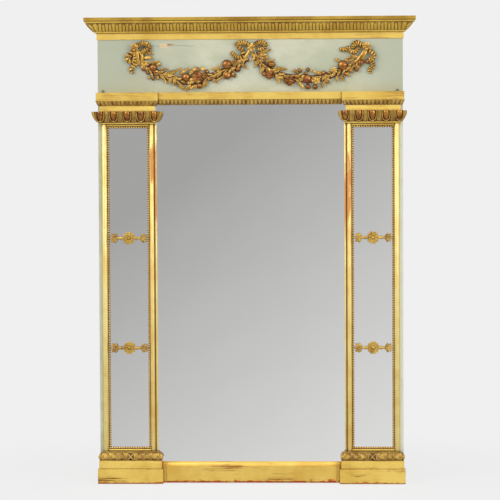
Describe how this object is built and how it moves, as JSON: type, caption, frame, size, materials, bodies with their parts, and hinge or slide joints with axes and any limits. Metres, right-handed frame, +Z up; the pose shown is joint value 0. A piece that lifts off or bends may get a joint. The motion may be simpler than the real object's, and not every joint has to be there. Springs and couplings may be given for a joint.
{
  "type": "wall mirror",
  "caption": "Gilt and painted wall mirror: large plate between pilasters of small plates, swag frieze, cornice.",
  "frame": {"origin": "on the surface the mirror stands on, in the middle of its width and its depth", "axes": "+Z up, +X to the right seen from the front, +Y into the wall"},
  "size_m": [1.243, 0.08, 1.756],
  "materials": {
    "gilt_wood": "burnished gold leaf over red bole",
    "old_gilt": "darker, worn gold leaf",
    "carved_gilt": "rubbed gold leaf with brown bole in the hollows",
    "painted_wood": "matt grey-green paint",
    "pine": "bare aged pine",
    "mirror": "silvered plate",
    "iron": "dark forged iron"
  },
  "bodies": {
    "frame": {"stile_left": "painted_wood", "stile_right": "painted_wood", "frieze_board": "painted_wood", "lower_rail": "pine", "main_glass": "mirror", "glass_blocks": "pine", "backboard_lower": "pine", "backboard_upper": "pine", "wood_screws": "iron", "cornice_top": "old_gilt", "cornice_front": "old_gilt", "cornice_return_left": "old_gilt", "cornice_return_right": "old_gilt", "cornice_fascia": "gilt_wood", "architrave": "gilt_wood", "lower_moulding": "gilt_wood", "outer_moulding_left": "gilt_wood", "outer_moulding_right": "gilt_wood", "inner_moulding_left": "gilt_wood", "inner_moulding_right": "gilt_wood", "end_rails_left": "gilt_wood", "end_rails_right": "gilt_wood", "bead_strips_left": "gilt_wood", "bead_strips_right": "gilt_wood", "side_glass_left_lower": "mirror", "side_glass_left_middle": "mirror", "side_glass_left_upper": "mirror", "side_glass_right_lower": "mirror", "side_glass_right_middle": "mirror", "side_glass_right_upper": "mirror", "rosette_bar_left_lower": "gilt_wood", "rosette_bar_left_upper": "gilt_wood", "rosette_bar_right_lower": "gilt_wood", "rosette_bar_right_upper": "gilt_wood", "astragal_left": "gilt_wood", "astragal_right": "gilt_wood", "egg_band_left": "gilt_wood", "egg_band_right": "gilt_wood", "neck_left": "gilt_wood", "neck_right": "gilt_wood", "abacus_left": "gilt_wood", "abacus_right": "gilt_wood", "torus_left": "gilt_wood", "torus_right": "gilt_wood", "upper_plinth_left": "gilt_wood", "upper_plinth_right": "gilt_wood", "lower_plinth_left": "gilt_wood", "lower_plinth_right": "gilt_wood", "swag_left": "carved_gilt", "swag_right": "carved_gilt", "bow_left": "carved_gilt", "bow_middle": "carved_gilt", "bow_right": "carved_gilt", "hanger_strap_left": "iron", "hanger_strap_right": "iron", "hanger_pin_left": "iron", "hanger_pin_right": "iron", "screw_eyes": "iron"},
    "hanger_left": {"hanger_eye_left": "iron"},
    "hanger_right": {"hanger_eye_right": "iron"}
  },
  "joints": [
    {"name": "hanger_left_hinge", "type": "hinge", "parent": "frame", "child": "hanger_left", "pos_m": [-0.4755, 0.035, 1.56], "axis": [1, 0, 0], "range_deg": [0, 180]},
    {"name": "hanger_right_hinge", "type": "hinge", "parent": "frame", "child": "hanger_right", "pos_m": [0.4755, 0.035, 1.56], "axis": [1, 0, 0], "range_deg": [0, 180]}
  ]
}
